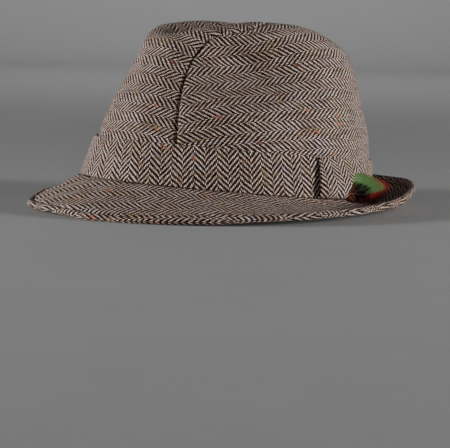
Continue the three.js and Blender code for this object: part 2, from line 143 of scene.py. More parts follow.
# Barbs: how close they grow, how far they lean and where the leaf is broadest, how they sweep out and
# cup, how uneven they are one by one and in groups, and how they thin towards their ends
BARB_PITCH = 0.22
BARB_LEAN = 0.9
BARB_STEPS = 7
LEAF_SKEW = 0.7
BARB_SWEEP = 1.25
BARB_RISE = 0.92
BARB_CUP = -0.05
BARB_STRAY = 0.07
BARB_UNEVEN = 0.03
BARB_GROUP = 7
GROUP_UNEVEN = 0.012
GROUP_SPLIT = 0.006
BARB_THINNING = 0.45

# Grids of the crown's panels: rows, columns over half the front, and columns over a side, whose top row
# starts some degrees past the tip of the front panel's tongue
PANEL_ROWS = 120
FRONT_COLUMNS = 44
SIDE_COLUMNS = 190
PAST_TONGUE = 3.5

# The height and the turns between which each panel's rows are laid level, before its grain is turned
LEVEL_HEIGHT = 60
FRONT_LEVEL = (-12, 12)
SIDE_LEVEL = (62, 92)

# Round pieces: about how far it is round the head, and the steps of each piece
GIRTH = 560
BAND_STEP = 1.2
BRIM_STEP = 1.0
THREAD_STEP = 0.5

# Sewing: how far the cloth rolls in at a seam and how wide, and the puckers beside it, whose pitch
# drifts. The centre seam is pulled less than the others.
SEAM_DIP = 1.6
SEAM_ROLL = 1.3
PUCKER = 0.22
PUCKER_PITCH = 8.5
PUCKER_REACH = 6
PUCKER_SWING = 1.7
PUCKER_DRIFT = 19
CENTRE_SEAM = 0.4

# Unevenness of the steamed cloth, as height, pitch and seed, and how far the band puffs out
WAVE_COUNT = 7
WAVE_PITCHES = (0.7, 1.5)
CROWN_WAVES = (0.45, 42, 11)
CROWN_RIPPLES = (0.12, 13, 12)
BAND_RIPPLES = (0.16, 18, 21)
BAND_SWAY = (0.25, 34, 22)
BAND_PUFF = 0.35
LOOP_RIPPLES = (0.2, 14, 31)
BRIM_RIPPLES = (0.22, 16, 41)
BRIM_WAVES = (0.35, 55, 42)

# How far the crown's cloth is drawn in along the band's upper edge, and how wide
TUCK = 0.9
TUCK_ROLL = 1.1

# The rim: a welt of both plies, half its thickness, how far in its stitch line lies, and its groove
WELT_HALF = 2.3
WELT_RADIUS = 2.3
STITCH_IN = 5.2
PAST_STITCH = 4
GROOVE_HALF = 0.5
GROOVE_ROLL = 1.2

# The thread sewn along that groove: half its thickness, and the length of a stitch
THREAD_HALF = 0.32
STITCH = 3.6

# Weave: a yarn each way, how many warp yarns make a row of the herringbone, and after how many yarns
# the twill repeats. The band is a strip drawn wider than it was woven.
WARP_YARN = 0.81
WEFT_YARN = 0.91
ROW_YARNS = 8
TWILL = 4
BAND_DRAWN = 1.09

# How far the weave is turned in each piece, in degrees, and how far the steamed sides have pulled the
# weft askew. The brim was cut nearly flat and drawn round the head: its cloth turns by only this share of
# the head's own turning.
FRONT_GRAIN = 3
SIDE_GRAIN = 10
SIDE_SKEW = -0.08
BAND_GRAIN = -10
BRIM_GRAIN = 27
BRIM_DRAWN = 0.55

# The yarns' look: how the weave sways and trembles, as a scale and a reach in metres, how the warp bows
# over the weft, how low the weft lies, and how often a yarn changes its tone, for each yarn it crosses
YARN_SWAY = (130.0, 0.0012)
YARN_TREMBLE = (700.0, 0.0007)
FLOAT_BOW = 0.6
WEFT_LOW = 0.7
TONE_SHARE = 0.08
PALE_YARN = (
    (0.16, (0.42, 0.28, 0.16)),
    (0.3, (0.64, 0.49, 0.4)),
    (0.48, (0.84, 0.68, 0.6)),
    (0.66, (0.9, 0.76, 0.68)),
    (0.84, (0.97, 0.87, 0.82)),
)
PALE_TINT = (
    (0.3, (1.0, 0.89, 0.72)),
    (0.42, (1.0, 0.95, 0.91)),
    (0.55, (1.0, 0.97, 1.0)),
    (0.68, (0.94, 0.87, 0.99)),
)
DARK_YARN = (
    (0.0, (0.014, 0.006, 0.004)),
    (0.5, (0.024, 0.011, 0.007)),
    (0.85, (0.04, 0.02, 0.011)),
    (1.0, (0.07, 0.042, 0.018)),
)
FIBRE_COLOURS = (
    (0.0, (0.03, 0.018, 0.012)),
    (0.5, (0.07, 0.045, 0.032)),
    (0.56, (0.32, 0.24, 0.19)),
    (0.95, (0.5, 0.4, 0.34)),
    (0.98, (0.35, 0.1, 0.06)),
)
# Sewing thread colours, from the grooves between its plies to their tops: the darker end is painted shade
THREAD_COLOURS_GROOVE_SHADED = ((0.0, (0.008, 0.005, 0.004)), (1.0, (0.035, 0.02, 0.014)))

# Flecks of dyed wool: the chance that a cell of the weave has none, how much they show, their colours
FLECKS = (
    {"none": 0.93, "show": 0.4, "colours": (
        (0.0, (0.30, 0.22, 0.10)),
        (0.35, (0.21, 0.20, 0.09)),
        (0.6, (0.34, 0.19, 0.16)),
        (0.8, (0.28, 0.24, 0.28)),
    )},
    {"none": 0.9935, "show": 0.62, "colours": (
        (0.0, (0.5, 0.1, 0.07)),
        (0.35, (0.28, 0.03, 0.03)),
        (0.6, (0.52, 0.18, 0.08)),
        (0.85, (0.45, 0.28, 0.09)),
    )},
)
FLECK_SLANT = 0.8
FLECK_RUN = 0.4
FLECK_YARNS = 3

# Loose fibres that stand off the cloth: how many to a square millimetre, their length and thickness,
# how high they stand and how far they curl, as shares of the length
FIBRES = 0.13
FIBRE_LENGTH = (0.8, 2.2)
FIBRE_SHORTEST = 0.4
FIBRE_WIDTH = 0.05
FIBRE_LIFT = (0.1, 0.75)
FIBRE_CURL = 0.5
FIBRE_STEPS = 4
FIBRE_THINNING = 0.7


def mix(start, end, share):
    return start + (end - start) * share


def turned(vectors, degrees):
    """Flat vectors turned clockwise, or their weave turned the other way."""
    c, s = np.cos(np.radians(degrees)), np.sin(np.radians(degrees))
    u, v = vectors[..., 0], vectors[..., 1]
    return np.stack([c * u + s * v, c * v - s * u], -1)


def smoothstep(value, low, high):
    s = np.clip((value - low) / (high - low), 0, 1)
    return s * s * (3 - 2 * s)


def unit(vectors):
    return vectors / np.linalg.norm(vectors, axis=-1, keepdims=True)


def column(table, key, name, at):
    """A smooth curve through one column of a table, read at values of its key column."""
    keys = np.array(table[key], float)
    values = np.array(table[name], float)
    slopes = np.zeros(len(keys))
    slopes[1:-1] = (values[2:] - values[:-2]) / (keys[2:] - keys[:-2])
    i = np.searchsorted(keys[1:-1], at, side="left")
    span = keys[i + 1] - keys[i]
    s = np.clip((at - keys[i]) / span, 0, 1)
    rising = (2 * s**3 - 3 * s**2 + 1) * values[i] + (s**3 - 2 * s**2 + s) * span * slopes[i]
    return rising + (3 * s**2 - 2 * s**3) * values[i + 1] + (s**3 - s**2) * span * slopes[i + 1]


def outline(turn, width, length, shift, height=0.0):
    t = np.radians(turn)
    x = width / 2 * np.sin(t)
    y = shift - length / 2 * np.cos(t)
    return np.stack([x, y, np.broadcast_to(height, x.shape)], -1)


def outward_of(turn):
    t = np.radians(turn)
    return unit(np.stack([np.sin(t) / HEAD_WIDTH, -np.cos(t) / HEAD_LENGTH, np.zeros_like(t)], -1))


def crown_point(turn, rise):
    """The crown's outer surface at turns and rises, two arrays of one shape."""
    turn, rise = np.broadcast_arrays(np.asarray(turn, float), np.asarray(rise, float))
    side = np.abs(turn)
    ridge_height = CROWN_HEIGHT * column(CROWN_RISE, "turn", "ridge", side)
    shoulder = column(CROWN_RISE, "turn", "shoulder", side)[..., None]
    foot = outline(turn, HEAD_WIDTH + 2 * CROWN_CLOTH, HEAD_LENGTH + 2 * CROWN_CLOTH, 0)
    eave = outline(turn, *EAVE, ridge_height)
    ridge = outline(turn, *RIDGE, ridge_height)
    crease = outline(turn, *CREASE, CROWN_HEIGHT * column(CROWN_RISE, "turn", "crease", side))
    level = rise[..., None]
    straight = mix(foot, eave, shoulder * level / SHOULDER_RISE)
    bend = np.clip((level - SHOULDER_RISE) / (RIDGE_RISE - SHOULDER_RISE), 0, 1)
    rounded = mix(mix(mix(foot, eave, shoulder), eave, bend), mix(eave, ridge, bend), bend)
    inward = np.clip((level - RIDGE_RISE) / (1 - RIDGE_RISE), 0, 1)
    fall = mix(smoothstep(inward, 0, 1), inward**2, CREASE_SHARPNESS)[..., 0]
    inside = mix(ridge, crease, inward)
    inside[..., 2] = mix(ridge[..., 2], crease[..., 2], fall)
    point = np.where(level <= SHOULDER_RISE, straight, np.where(level <= RIDGE_RISE, rounded, inside))
    outward = outward_of(turn)
    swell = CROWN_HEIGHT * column(CROWN_RISE, "turn", "swell", side)
    swollen = np.clip(rise / SHOULDER_RISE, 0, 1) ** (np.log(0.5) / np.log(SWELL_AT))
    point = point + outward * (swell * np.sin(np.pi * swollen))[..., None]
    fade = 1 - smoothstep(rise, SHOULDER_RISE, RIDGE_RISE)
    for dent in DENTS:
        across = (side - dent["turn"]) / dent["spread"]
        up = (point[..., 2] / CROWN_HEIGHT - dent["height"]) / dent["reach"]
        depth = CROWN_HEIGHT * dent["depth"] * np.exp(-(across**2) - up**2)
        point = point - outward * (depth * fade)[..., None]
    return point


def crown_normal(turn, rise):
    at = np.clip(rise, EPSILON, 1 - 10 * EPSILON)
    around = crown_point(turn + 1, at) - crown_point(turn - 1, at)
    upward = crown_point(turn, at + EPSILON) - crown_point(turn, at - EPSILON)
    return unit(np.cross(around, upward))


def wall_point(turn, height, off):
    """A point off the crown's straight side, at a height above the head opening."""
    turn, height, off = np.broadcast_arrays(*(np.asarray(v, float) for v in (turn, height, off)))
    side = np.abs(turn)
    ridge = CROWN_HEIGHT * column(CROWN_RISE, "turn", "ridge", side)
    shoulder = ridge * column(CROWN_RISE, "turn", "shoulder", side)
    rise = np.maximum(SHOULDER_RISE * height / shoulder, 0)
    return crown_point(turn, rise) + wall_normal(turn, rise) * off[..., None]


def wall_normal(turn, rise):
    return unit(crown_normal(turn, rise) * (1, 1, 0))


def brim_point(turn, run, off):
    """A point of the brim: run is the share of its width out from the band, negative under the band."""
    turn, run, off = np.broadcast_arrays(*(np.asarray(v, float) for v in (turn, run, off)))
    side = np.abs(turn)
    width = BRIM_WIDTH * column(BRIM_ROLL, "turn", "width", side)
    skew = BRIM_SKEW * np.sin(np.radians(turn))
    inner = np.radians(column(BRIM_ROLL, "turn", "inner", side) - skew)
    outer = np.radians(column(BRIM_ROLL, "turn", "outer", side) - skew)
    out = np.maximum(run, 0)
    slope = mix(inner, outer, out)
    bend = (outer - inner) / width
    bend = np.where(np.abs(bend) < EPSILON**2, EPSILON**2, bend)
    reach = (np.sin(slope) - np.sin(inner)) / bend
    drop = (np.cos(inner) - np.cos(slope)) / bend
    lean = np.where(run < 0, 0, np.where(run == 0, inner / 2, slope))
    edge = outline(turn, HEAD_WIDTH, HEAD_LENGTH, 0)
    away = SEAT * (1 + np.minimum(run, 0)) + reach - off * np.sin(lean)
    point = edge + outward_of(turn) * away[..., None]
    point[..., 2] = -SEAM_GAP - PLY_STACK + drop + off * np.cos(lean)
    return point


def standing_plane():
    """The slope and height of the plane that touches the brim at the front and the back at once."""
    turns, runs = np.meshgrid(np.linspace(-180, 180, 361)[:-1], np.linspace(0, 1, 41))
    under = brim_point(turns, runs, -PLY_STACK).reshape(-1, 3)
    back = under[:, 1] > 0
    low, high = 0.0, 1.0
    for _ in range(40):
        slope = (low + high) / 2
        heights = under[:, 2] - slope * under[:, 1]
        if heights[~back].min() < heights[back].min():
            low = slope
        else:
            high = slope
    return low, (under[:, 2] - low * under[:, 1])[back].min()


STANDING_SLOPE, STANDING_HEIGHT = standing_plane()
PITCH = -np.arctan(STANDING_SLOPE)
SETTLE = np.array([
    [1, 0, 0],
    [0, np.cos(PITCH), -np.sin(PITCH)],
    [0, np.sin(PITCH), np.cos(PITCH)],
])


def place_of_hat():
    """Where the hat's own frame lies in the part's: the part is centred over its box."""
    low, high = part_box("hat_band")
    turns, heights = np.meshgrid(np.arange(56) * 360 / 56 - 180, (0, BAND_HEIGHT))
    band = settled(wall_point(turns, heights, SEAM_GAP + BAND_CLOTH), False).reshape(-1, 3)
    middle = (np.array(low) + np.array(high)) / 2 / MM
    place = middle - (band.min(0) + band.max(0)) / 2
    return np.array([place[0], place[1], 0])


def settled(points, placed=True):
    """Points about the head opening, moved to where the hat stands."""
    moved = (points - (0, 0, STANDING_HEIGHT)) @ SETTLE.T - (0, 0, FLATTENED)
    return moved + HAT_PLACE if placed else moved


def settled_brim(turn, run, off):
    """Brim points, with both plies lifted together where the cloth is flattened on the floor."""
    under = settled(brim_point(turn, np.minimum(run, 1), -PLY_STACK))[..., 2]
    moved = settled(brim_point(turn, run, off))
    moved[..., 2] = np.maximum(0, moved[..., 2] + np.maximum(0, -under))
    return moved


HAT_PLACE = place_of_hat()


def waves(points, height, pitch, seed):
    """Smooth noise of about this height that varies over the pitch."""
    random = np.random.default_rng(seed)
    total = np.zeros(points.shape[:-1])
    for _ in range(WAVE_COUNT):
        ahead = unit(random.normal(size=3)) / (pitch * random.uniform(*WAVE_PITCHES))
        total += np.sin(2 * np.pi * (points @ ahead + random.uniform()))
    return height * total / np.sqrt(WAVE_COUNT)


def arc_lengths(line):
    steps = np.linalg.norm(np.diff(line, axis=0), axis=1)
    return np.concatenate([[0], np.cumsum(steps)])


def nearest_on(points, line):
    """The distance from each point to a line of points, and how far along the line that is."""
    along = arc_lengths(line)
    flat = points.reshape(-1, 3)
    distance = np.empty(len(flat))
    place = np.empty(len(flat))
    block = 4000
    for start in range(0, len(flat), block):
        gaps = np.linalg.norm(flat[start:start + block, None] - line[None], axis=-1)
        best = gaps.argmin(1)
        distance[start:start + block] = gaps[np.arange(len(best)), best]
        place[start:start + block] = along[best]
    return distance.reshape(points.shape[:-1]), place.reshape(points.shape[:-1])


def denser_ends(count, share=0.6):
    """Shares from 0 to 1 that lie closer together at both ends."""
    s = np.linspace(0, 1, count)
    return mix(s, (1 - np.cos(np.pi * s)) / 2, share)


def grid_quads(rows, columns, start=0, flip=False):
    index = start + np.arange(rows * columns).reshape(rows, columns)
    corners = [index[:-1, :-1], index[:-1, 1:], index[1:, 1:], index[1:, :-1]]
    quads = np.stack(corners, -1).reshape(-1, 4)
    return quads[:, ::-1] if flip else quads


def make_mesh(name, points, quads, uv=None):
    """A smooth object in metres from points in millimetres, with UVs in millimetres of cloth."""
    mesh = bpy.data.meshes.new(name)
    quads = np.ascontiguousarray(quads, dtype=np.int32)
    mesh.vertices.add(len(points))
    mesh.vertices.foreach_set("co", np.ascontiguousarray(points * MM, dtype=np.float32).ravel())
    mesh.loops.add(quads.size)
    mesh.loops.foreach_set("vertex_index", quads.ravel())
    mesh.polygons.add(len(quads))
    mesh.polygons.foreach_set("loop_start", np.arange(0, quads.size, 4, dtype=np.int32))
    if uv is not None:
        layer = mesh.uv_layers.new(name="cloth")
        layer.data.foreach_set("uv", np.ascontiguousarray(uv[quads.ravel()] * MM, np.float32).ravel())
    mesh.update(calc_edges=True)
    mesh.validate()
    mesh.shade_smooth()
    made = bpy.data.objects.new(name, mesh)
    bpy.context.scene.collection.objects.link(made)
    return made


# The outer and inner sides of every piece of cloth, which the loose fibres grow from
FACES = []


def sheet(name, outer, inner, uv):
    """A closed sheet of cloth from its outer and inner grids, which share their UVs."""
    rows, columns = outer.shape[:2]
    size = rows * columns
    index = np.arange(size).reshape(rows, columns)
    border = np.concatenate([index[0, :-1], index[:-1, -1], index[-1, :0:-1], index[:0:-1, 0]])
    after = np.roll(border, -1)
    rim = np.stack([border, border + size, after + size, after], -1)
    quads = np.concatenate([grid_quads(rows, columns), grid_quads(rows, columns, size, flip=True), rim])
    points = np.concatenate([outer.reshape(-1, 3), inner.reshape(-1, 3)])
    flat = uv.reshape(-1, 2)
    FACES.append((outer, inner))
    return make_mesh(name, points, quads, np.concatenate([flat, flat]))


def tube(name, sections, uv):
    """A closed ring from sections round the head, (turns, section, 3). Its last turn joins its first."""
    turns, count = sections.shape[:2]
    index = np.arange(turns * count).reshape(turns, count)
    ahead = np.roll(index, -1, axis=0)
    quads = np.stack([index, ahead, np.roll(ahead, -1, 1), np.roll(index, -1, 1)], -1).reshape(-1, 4)
    return make_mesh(name, sections.reshape(-1, 3), quads, uv.reshape(-1, 2))


def flattened(points, first, last):
    """UVs, in millimetres, of a grid of cloth laid flat, turned so that first to last lies along U."""
    rows, columns = points.shape[:2]
    made = make_mesh("flat", points.reshape(-1, 3), grid_quads(rows, columns))
    made.data.uv_layers.new(name="flat")
    bpy.context.view_layer.objects.active = made
    made.select_set(True)
    bpy.ops.object.mode_set(mode="EDIT")
    bpy.ops.mesh.select_all(action="SELECT")
    bpy.ops.uv.unwrap(method="MINIMUM_STRETCH", fill_holes=False, iterations=12, margin=0)
    bpy.ops.object.mode_set(mode="OBJECT")
    mesh = made.data
    loops = np.empty(len(mesh.loops), dtype=np.int32)
    mesh.loops.foreach_get("vertex_index", loops)
    values = np.empty(len(mesh.loops) * 2, dtype=np.float32)
    mesh.uv_layers["flat"].data.foreach_get("uv", values)
    uv = np.empty((rows * columns, 2))
    uv[loops] = values.reshape(-1, 2)
    bpy.data.objects.remove(made)
    bpy.data.meshes.remove(mesh)
    quads = grid_quads(rows, columns)
    flat = points.reshape(-1, 3)
    one, two = flat[quads[:, 2]] - flat[quads[:, 0]], flat[quads[:, 3]] - flat[quads[:, 1]]
    area = np.linalg.norm(np.cross(one, two), axis=1).sum()
    a, b = uv[quads[:, 2]] - uv[quads[:, 0]], uv[quads[:, 3]] - uv[quads[:, 1]]
    signed = (a[:, 0] * b[:, 1] - a[:, 1] * b[:, 0]).sum()
    uv *= np.sqrt(area / abs(signed))
    if signed < 0:
        uv[:, 0] *= -1
    ahead = unit(uv[last] - uv[first])
    level = np.stack([uv @ ahead, uv @ np.array([-ahead[1], ahead[0]])], -1)
    return (level - level[first]).reshape(rows, columns, 2)


def cut_flat(turns, points, level_turns, grain):
    """UVs of a crown panel laid flat, with its rows level between two turns and then turned by its grain.
    A degree counts as a millimetre and a half."""
    first, last = (
        int(np.argmin((1.5 * (turns - turn)) ** 2 + (points[..., 2] - LEVEL_HEIGHT) ** 2))
        for turn in level_turns
    )
    return turned(flattened(points, first, last), grain)


def front_grid():
    """Turns and rises of the front panel's grid, and the shares of its rows."""
    shares = np.linspace(0, 1, int(PANEL_ROWS * DETAIL))
    at = (shares * (len(FRONT_PANEL["row"]) - 1))[:, None]
    half = int(FRONT_COLUMNS * DETAIL)
    across = 2 * denser_ends(2 * half + 1) - 1
    mid_turn, mid_rise, seam_turn, seam_rise = (
        column(FRONT_PANEL, "row", name, at)
        for name in ("mid_turn", "mid_rise", "seam_turn", "seam_rise")
    )
    turn = np.sign(across) * mix(mid_turn, seam_turn, np.abs(across))
    rise = mix(np.minimum(1, mid_rise), seam_rise, np.abs(across))
    return turn, rise


def seam_line(count=500):
    """Turns and rises along the seam between the front panel and the left one."""
    at = np.linspace(0, 1, count) * (len(FRONT_PANEL["row"]) - 1)
    return column(FRONT_PANEL, "row", "seam_turn", at), column(FRONT_PANEL, "row", "seam_rise", at)


def side_grid():
    """Turns and rises of the left panel's grid, from the front seam to the centre plane."""
    shares = np.linspace(0, 1, int(PANEL_ROWS * DETAIL))
    at = shares * (len(FRONT_PANEL["row"]) - 1)
    front_turn = column(FRONT_PANEL, "row", "seam_turn", at)
    front_rise = column(FRONT_PANEL, "row", "seam_rise", at)
    front_turn[-1] += PAST_TONGUE
    front_rise[-1] = 1
    low_rise = 2 * SHOULDER_RISE * shares
    back_rise = np.where(shares < 0.5, low_rise, mix(SHOULDER_RISE, 1, 2 * shares - 1))
    across = denser_ends(int(SIDE_COLUMNS * DETAIL))
    turn = mix(front_turn[:, None], 180.0, across)
    rise = mix(front_rise[:, None], back_rise[:, None], across)
    return turn, rise


def sewn(points, seam):
    """How far each point moves along its normal: in at the seam, with a soft pucker beside it."""
    distance, along = nearest_on(points, seam)
    dip = SEAM_DIP * np.exp(-((distance / SEAM_ROLL) ** 2))
    drift = PUCKER_SWING * np.sin(along / PUCKER_DRIFT)
    swing = np.sin(2 * np.pi * along / PUCKER_PITCH + drift)
    return PUCKER * swing * np.exp(-distance / PUCKER_REACH) - dip


def crown_waves(points):
    """Soft unevenness of the steamed cloth, and the roll where the band draws it in."""
    above = points[..., 2] - BAND_HEIGHT - SEAM_GAP
    tuck = TUCK * np.exp(-((above / TUCK_ROLL) ** 2))
    return waves(points, *CROWN_WAVES) + waves(points, *CROWN_RIPPLES) - tuck


def under_cloth(points, normals):
    """The cloth's inner side. In the crease, where the two sides meet, it lies on the centre plane."""
    middle = np.abs(points[..., 0]) < EPSILON
    level = unit(np.where(middle[..., None], normals * (0, 1, 1), normals))
    depth = CROWN_CLOTH / np.maximum((level * normals).sum(-1), 0.6)
    return points - level * depth[..., None]


def crown_front():
    turn, rise = front_grid()
    points = crown_point(turn, rise)
    middle = turn.shape[1] // 2
    points[:, middle, 0] = 0
    normals = crown_normal(turn, rise)
    seam = crown_point(*seam_line())
    moves = crown_waves(points)
    for side in (1, -1):
        moves += sewn(points, seam * (side, 1, 1))
    uv = cut_flat(turn, points, FRONT_LEVEL, FRONT_GRAIN)
    outer = points + normals * moves[..., None]
    outer[:, middle, 0] = 0
    step = SEAM_GAP / 2 * unit(points[:, -1] - points[:, -3])
    outer[:, -1] -= step
    outer[:, 0] -= step * (-1, 1, 1)
    inner = under_cloth(outer, normals)
    return sheet("front_cloth", settled(outer), settled(inner), uv)


def crown_side(side, name):
    turn, rise = side_grid()
    points = crown_point(turn, rise)
    normals = crown_normal(turn, rise)
    seam = crown_point(*seam_line())
    centre = np.concatenate([points[:, -1], points[-1, ::-1]])
    moves = crown_waves(points * (side, 1, 1)) + sewn(points, seam)
    moves += CENTRE_SEAM * sewn(points, centre)
    uv = cut_flat(turn, points, SIDE_LEVEL, SIDE_GRAIN)
    uv[..., 0] += SIDE_SKEW * uv[..., 1]
    outer = points + normals * moves[..., None]
    step = SEAM_GAP / 2 * unit(points[:-1, 2] - points[:-1, 0])
    outer[:-1, 0] += step
    inner = under_cloth(outer, normals)
    for layer in (outer, inner):
        layer[:, -1, 0] = SEAM_GAP / 2
        layer[-1, :, 0] = SEAM_GAP / 2
    if side < 0:
        outer = (outer * (-1, 1, 1))[:, ::-1]
        inner = (inner * (-1, 1, 1))[:, ::-1]
        uv = (uv * (-1, 1))[:, ::-1]
    return sheet(name, settled(outer), settled(inner), uv)


def around(step):
    """Turns all round the head, at about one for each step of millimetres."""
    return np.linspace(-180, 180, int(GIRTH / step * DETAIL), endpoint=False)


def girth_at(turns, points):
    """How far round each turn lies, in millimetres from the front."""
    closed = np.concatenate([points, points[:1]])
    along = arc_lengths(closed)[:-1]
    return along - np.interp(0, turns, along)


def rounded_section(height, thickness, edge_steps=5, face_steps=26):
    """Heights and offsets of a strip's section, with its edges rounded, anticlockwise from its foot."""
    radius = thickness / 2
    sweep = np.linspace(-90, 90, 2 * edge_steps + 1)
    up = height - radius + radius * np.cos(np.radians(sweep))
    top = np.stack([up, radius - radius * np.sin(np.radians(sweep))], -1)
    foot = np.stack([height - top[::-1, 0], top[::-1, 1]], -1)
    rise = np.linspace(radius, height - radius, face_steps)[1:-1]
    outer = np.stack([rise, np.full_like(rise, thickness)], -1)
    inner = np.stack([rise[::-1], np.zeros_like(rise)], -1)
    return np.concatenate([foot, outer, top, inner])


def hat_band():
    turns = around(BAND_STEP)
    section = rounded_section(BAND_HEIGHT, BAND_CLOTH)
    height, off = section.T
    turn = turns[:, None]
    base = wall_point(turn, height, SEAM_GAP)
    facing = wall_normal(turn, BAND_RISE)
    outside = off > BAND_CLOTH / 2
    puff = BAND_PUFF * np.sin(np.pi * np.clip(height / BAND_HEIGHT, 0, 1)) * outside
    ripple = waves(base, *BAND_RIPPLES) * outside
    points = base + facing * (off + puff + ripple)[..., None]
    points[..., 2] += waves(base * (1, 1, 0), *BAND_SWAY) * height / BAND_HEIGHT
    girth = girth_at(turns, points[:, len(section) // 3])
    uv = turned(np.stack(np.broadcast_arrays(height, girth[:, None] / BAND_DRAWN), -1), BAND_GRAIN)
    face = points[:, off == BAND_CLOTH]
    FACES.append((settled(face), settled(face - facing)))
    return tube("band_cloth", settled(points), uv)


def loop_degree():
    """How far round the brim's seat a degree is at the loop, in millimetres."""
    before, after = wall_point(np.array([LOOP_TURN - 1.0, LOOP_TURN + 1.0]), 0, SEAT)
    return np.linalg.norm(after - before) / 2


def band_loop():
    girth = loop_degree()
    half = LOOP_WIDTH / 2 / girth
    rows, columns = int(60 * DETAIL), int(56 * DETAIL)
    up = np.linspace(0, 1, rows)[:, None]
    across = denser_ends(columns)
    height = mix(SEAM_GAP, BAND_HEIGHT - SEAM_GAP, up)
    hug = mix(LOOP_HUG, 1, np.sin(np.pi / 2 * np.minimum(1, 2 * across)))
    bow = LOOP_ROOM * np.sin(np.pi * up**LOOP_SAG) * hug
    turn = LOOP_TURN - half + across * (2 * half + LOOP_SLANT * up**2)
    edge = np.minimum(across, 1 - across) * LOOP_WIDTH
    rounding = LOOP_CLOTH / 2 * (1 - np.sqrt(1 - np.clip(1 - edge / (LOOP_CLOTH / 2), 0, 1) ** 2))
    face = 2 * SEAM_GAP + BAND_CLOTH + bow
    base = wall_point(turn, height, 0)
    ripple = waves(base, *LOOP_RIPPLES)
    outer = wall_point(turn, height, face + LOOP_CLOTH - rounding + ripple)
    inner = wall_point(turn, height, face + rounding + ripple)
    run = arc_lengths(outer[:, columns // 2])[:, None]
    girth_run = across * (LOOP_WIDTH + LOOP_SLANT * girth * up**2)
    uv = turned(np.stack(np.broadcast_arrays(run, girth_run / BAND_DRAWN), -1), BAND_GRAIN)
    return sheet("loop_cloth", settled(outer), settled(inner), uv)


def welt_half(inset):
    """Half the brim's thickness at a distance in from its outermost edge."""
    round_part = np.sqrt(np.clip(1 - (1 - np.clip(inset / WELT_RADIUS, 0, 1)) ** 2, 0, 1))
    groove = np.exp(-(((inset - STITCH_IN) / GROOVE_ROLL) ** 2))
    body = mix(WELT_HALF, PLY_STACK, smoothstep(inset, WELT_RADIUS, STITCH_IN))
    return body * round_part - (body - GROOVE_HALF) * groove


def brim_ripple(turn, run, width):
    """How far the brim's cloth lies above or below its smooth form."""
    seat = outline(turn, HEAD_WIDTH, HEAD_LENGTH, 0)
    plan = seat + outward_of(turn) * (SEAT + run * width)[..., None]
    return waves(plan, *BRIM_RIPPLES) + waves(plan, *BRIM_WAVES) * np.clip(run, 0, 1)


def rim_thread(face, name):
    """The stitches along the rim's groove, as one thread that sinks into the cloth between them."""
    turn = around(THREAD_STEP)[:, None]
    width = BRIM_WIDTH * column(BRIM_ROLL, "turn", "width", np.abs(turn))
    run = 1 + (EDGE_ROUND / 2 - STITCH_IN) / width
    along = girth_at(turn[:, 0], settled_brim(turn, run, 0)[:, 0])[:, None]
    sunk = np.abs(np.cos(np.pi * along / STITCH)) ** 6
    above = GROOVE_HALF + THREAD_HALF / 2 - 2 * THREAD_HALF * sunk
    level = face * above + brim_ripple(turn, run, width)
    angle = np.radians(np.arange(0, 360, 45))
    across = run + THREAD_HALF * np.cos(angle) / width
    sections = settled_brim(turn, across, level + THREAD_HALF * np.sin(angle))
    uv = np.stack(np.broadcast_arrays(along, THREAD_HALF * angle), -1)
    return tube(name, sections, uv)


def brim_pattern(turns, out):
    """UVs of the brim's cloth laid flat: a strip that turns less than the head does, and its width out."""
    seat = outline(turns, HEAD_WIDTH, HEAD_LENGTH, 0) + outward_of(turns) * SEAT
    ahead = np.roll(seat, -1, axis=0) - seat
    heading = np.unwrap(np.arctan2(ahead[:, 1], ahead[:, 0]))
    heading = BRIM_DRAWN * (heading - np.interp(0, turns, heading))
    step = np.linalg.norm(ahead, axis=1)
    steps = np.stack([step * np.cos(heading), step * np.sin(heading)], -1)
    foot = np.cumsum(steps, axis=0) - steps
    aside = np.stack([np.sin(heading), -np.cos(heading)], -1)
    return turned(foot[:, None] + aside[:, None] * out[..., None], BRIM_GRAIN)


def brim_ply(face, name):
    """One ply of the brim: 1 for the upper, -1 for the lower."""
    turns = around(BRIM_STEP)
    width = BRIM_WIDTH * column(BRIM_ROLL, "turn", "width", np.abs(turns))[:, None]
    reach = width + EDGE_ROUND / 2
    near_rim = WELT_RADIUS * (1 - np.cos(np.linspace(0, np.pi / 2, 9)))
    over_welt = np.linspace(WELT_RADIUS, STITCH_IN + PAST_STITCH, 22)[1:]
    inset = np.concatenate([near_rim, over_welt])
    body = np.linspace(0, 1, 26)[:-1]
    outer_run = np.concatenate([
        np.broadcast_to(body * (reach - inset[-1]) / width, (len(turns), len(body))),
        (reach - inset[::-1]) / width,
    ], axis=1)
    under_band = np.full((len(turns), 1), -1.0)
    run = np.concatenate([under_band, outer_run], axis=1)
    inset_all = reach - run * width
    turn = turns[:, None]
    thick = np.where(run < 0, PLY_STACK, welt_half(inset_all))
    ripple = brim_ripple(turn, run, width)
    far = face * np.maximum(thick, SEAM_GAP / 2) + ripple
    near = face * SEAM_GAP / 2 + ripple
    outside = settled_brim(turn, run, far)
    inside = settled_brim(turn, run, near)
    sections = np.concatenate([outside, inside[:, ::-1]], axis=1)
    if face > 0:
        sections = sections[:, ::-1]
    FACES.append((outside, inside))
    girth = np.linalg.norm(np.diff(outside, axis=1), axis=-1).cumsum(axis=1)
    out = np.concatenate([0 * girth[:, :1], girth], axis=1) - girth[:, :1]
    uv = brim_pattern(turns, out)
    uv = np.concatenate([uv, uv[:, ::-1]], axis=1)
    if face > 0:
        uv = uv[:, ::-1]
    return tube(name, sections, uv)


def ribbons(spine, aside, uv):
    """Points, quads and UVs of many strips: spines (strips, steps, 3), with half their width aside."""
    points = np.stack([spine - aside, spine + aside], 2).reshape(-1, 3)
    strips, steps = spine.shape[:2]
    left = (np.arange(strips)[:, None] * steps + np.arange(steps - 1)).ravel() * 2
    quads = np.stack([left, left + 1, left + 3, left + 2], -1)
    return points, quads, np.repeat(uv.reshape(-1, 2), 2, axis=0)


